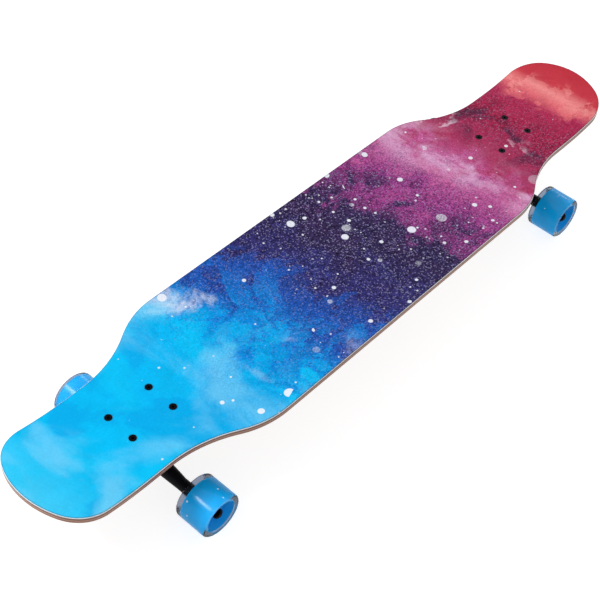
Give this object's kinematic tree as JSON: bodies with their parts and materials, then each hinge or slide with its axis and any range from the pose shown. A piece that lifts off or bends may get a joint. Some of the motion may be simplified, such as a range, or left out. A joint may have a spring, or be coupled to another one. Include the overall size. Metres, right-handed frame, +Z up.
{
  "type": "longboard skateboard",
  "caption": "Longboard skateboard with a narrow-necked kicked deck, printed grip top, reverse-kingpin trucks that steer when the deck leans, and clear wheels on ball bearings.",
  "frame": {"origin": "on the ground under the middle of the board", "axes": "+X along the board to the nose (the red end), +Y to the rider's left, +Z up"},
  "size_m": [1.067, 0.2624, 0.131],
  "materials": {
    "maple": "clear-lacquered maple laminate",
    "grip": "fine grit sheet, printed gradient",
    "truck": "black powder coat",
    "black_bolt": "black oxide steel",
    "steel": "zinc-plated steel",
    "bearing_steel": "ground bearing steel",
    "riser": "moulded rubber",
    "bushing": "cast urethane",
    "pivot_cup": "moulded urethane",
    "tyre": "clear cast urethane",
    "core": "moulded blue plastic",
    "shield": "rubber-faced shield",
    "cage": "moulded nylon"
  },
  "bodies": {
    "board": {"deck": "maple", "grip_sheet": "grip", "front_riser_pad": "riser", "front_baseplate": "truck", "front_mounting_bolts": "black_bolt", "front_mounting_nuts": "steel", "front_kingpin": "steel", "front_kingpin_nut": "steel", "front_boardside_bushing": "bushing", "front_roadside_bushing": "bushing", "front_boardside_washer": "steel", "front_roadside_washer": "steel", "front_pivot_cup": "pivot_cup", "rear_riser_pad": "riser", "rear_baseplate": "truck", "rear_mounting_bolts": "black_bolt", "rear_mounting_nuts": "steel", "rear_kingpin": "steel", "rear_kingpin_nut": "steel", "rear_boardside_bushing": "bushing", "rear_roadside_bushing": "bushing", "rear_boardside_washer": "steel", "rear_roadside_washer": "steel", "rear_pivot_cup": "pivot_cup"},
    "front_hanger": {"front_hanger": "truck", "front_axle": "black_bolt", "front_bearing_inner_rings": "bearing_steel", "front_bearing_spacers": "steel", "front_speed_washers": "steel", "front_axle_nuts": "black_bolt"},
    "front_left_wheel": {"front_left_tyre": "tyre", "front_left_core": "core", "front_left_bearing_outer_rings": "bearing_steel", "front_left_bearing_shields": "shield"},
    "front_left_bearing_cages": {"front_left_bearing_cages": "cage", "front_left_bearing_balls": "bearing_steel"},
    "front_right_wheel": {"front_right_tyre": "tyre", "front_right_core": "core", "front_right_bearing_outer_rings": "bearing_steel", "front_right_bearing_shields": "shield"},
    "front_right_bearing_cages": {"front_right_bearing_cages": "cage", "front_right_bearing_balls": "bearing_steel"},
    "rear_hanger": {"rear_hanger": "truck", "rear_axle": "black_bolt", "rear_bearing_inner_rings": "bearing_steel", "rear_bearing_spacers": "steel", "rear_speed_washers": "steel", "rear_axle_nuts": "black_bolt"},
    "rear_left_wheel": {"rear_left_tyre": "tyre", "rear_left_core": "core", "rear_left_bearing_outer_rings": "bearing_steel", "rear_left_bearing_shields": "shield"},
    "rear_left_bearing_cages": {"rear_left_bearing_cages": "cage", "rear_left_bearing_balls": "bearing_steel"},
    "rear_right_wheel": {"rear_right_tyre": "tyre", "rear_right_core": "core", "rear_right_bearing_outer_rings": "bearing_steel", "rear_right_bearing_shields": "shield"},
    "rear_right_bearing_cages": {"rear_right_bearing_cages": "cage", "rear_right_bearing_balls": "bearing_steel"}
  },
  "joints": [
    {"name": "front_steer", "type": "hinge", "parent": "board", "child": "front_hanger", "pos_m": [0.36378, 0, 0.04959], "axis": [0.7071, 0, 0.7071], "range_deg": [-18, 18], "stiffness_Nm_per_rad": 40, "deforming": ["front_boardside_bushing", "front_roadside_bushing"]},
    {"name": "front_left_wheel_spin", "type": "hinge", "parent": "front_hanger", "child": "front_left_wheel", "pos_m": [0.356, 0.108, 0.0305], "axis": [0, 1, 0], "continuous": true},
    {"name": "front_left_cage_spin", "type": "hinge", "parent": "front_hanger", "child": "front_left_bearing_cages", "pos_m": [0.356, 0.108, 0.0305], "axis": [0, 1, 0], "continuous": true},
    {"name": "front_right_wheel_spin", "type": "hinge", "parent": "front_hanger", "child": "front_right_wheel", "pos_m": [0.356, -0.108, 0.0305], "axis": [0, 1, 0], "continuous": true},
    {"name": "front_right_cage_spin", "type": "hinge", "parent": "front_hanger", "child": "front_right_bearing_cages", "pos_m": [0.356, -0.108, 0.0305], "axis": [0, 1, 0], "continuous": true},
    {"name": "rear_steer", "type": "hinge", "parent": "board", "child": "rear_hanger", "pos_m": [-0.36378, 0, 0.04959], "axis": [-0.7071, 0, 0.7071], "range_deg": [-18, 18], "stiffness_Nm_per_rad": 40, "deforming": ["rear_boardside_bushing", "rear_roadside_bushing"]},
    {"name": "rear_left_wheel_spin", "type": "hinge", "parent": "rear_hanger", "child": "rear_left_wheel", "pos_m": [-0.356, 0.108, 0.0305], "axis": [0, 1, 0], "continuous": true},
    {"name": "rear_left_cage_spin", "type": "hinge", "parent": "rear_hanger", "child": "rear_left_bearing_cages", "pos_m": [-0.356, 0.108, 0.0305], "axis": [0, 1, 0], "continuous": true},
    {"name": "rear_right_wheel_spin", "type": "hinge", "parent": "rear_hanger", "child": "rear_right_wheel", "pos_m": [-0.356, -0.108, 0.0305], "axis": [0, 1, 0], "continuous": true},
    {"name": "rear_right_cage_spin", "type": "hinge", "parent": "rear_hanger", "child": "rear_right_bearing_cages", "pos_m": [-0.356, -0.108, 0.0305], "axis": [0, 1, 0], "continuous": true}
  ],
  "couplings": [
    {"joint": "front_left_cage_spin", "follows": "front_left_wheel_spin", "ratio": 0.6323},
    {"joint": "front_right_cage_spin", "follows": "front_right_wheel_spin", "ratio": 0.6323},
    {"joint": "rear_left_cage_spin", "follows": "rear_left_wheel_spin", "ratio": 0.6323},
    {"joint": "rear_right_cage_spin", "follows": "rear_right_wheel_spin", "ratio": 0.6323}
  ]
}
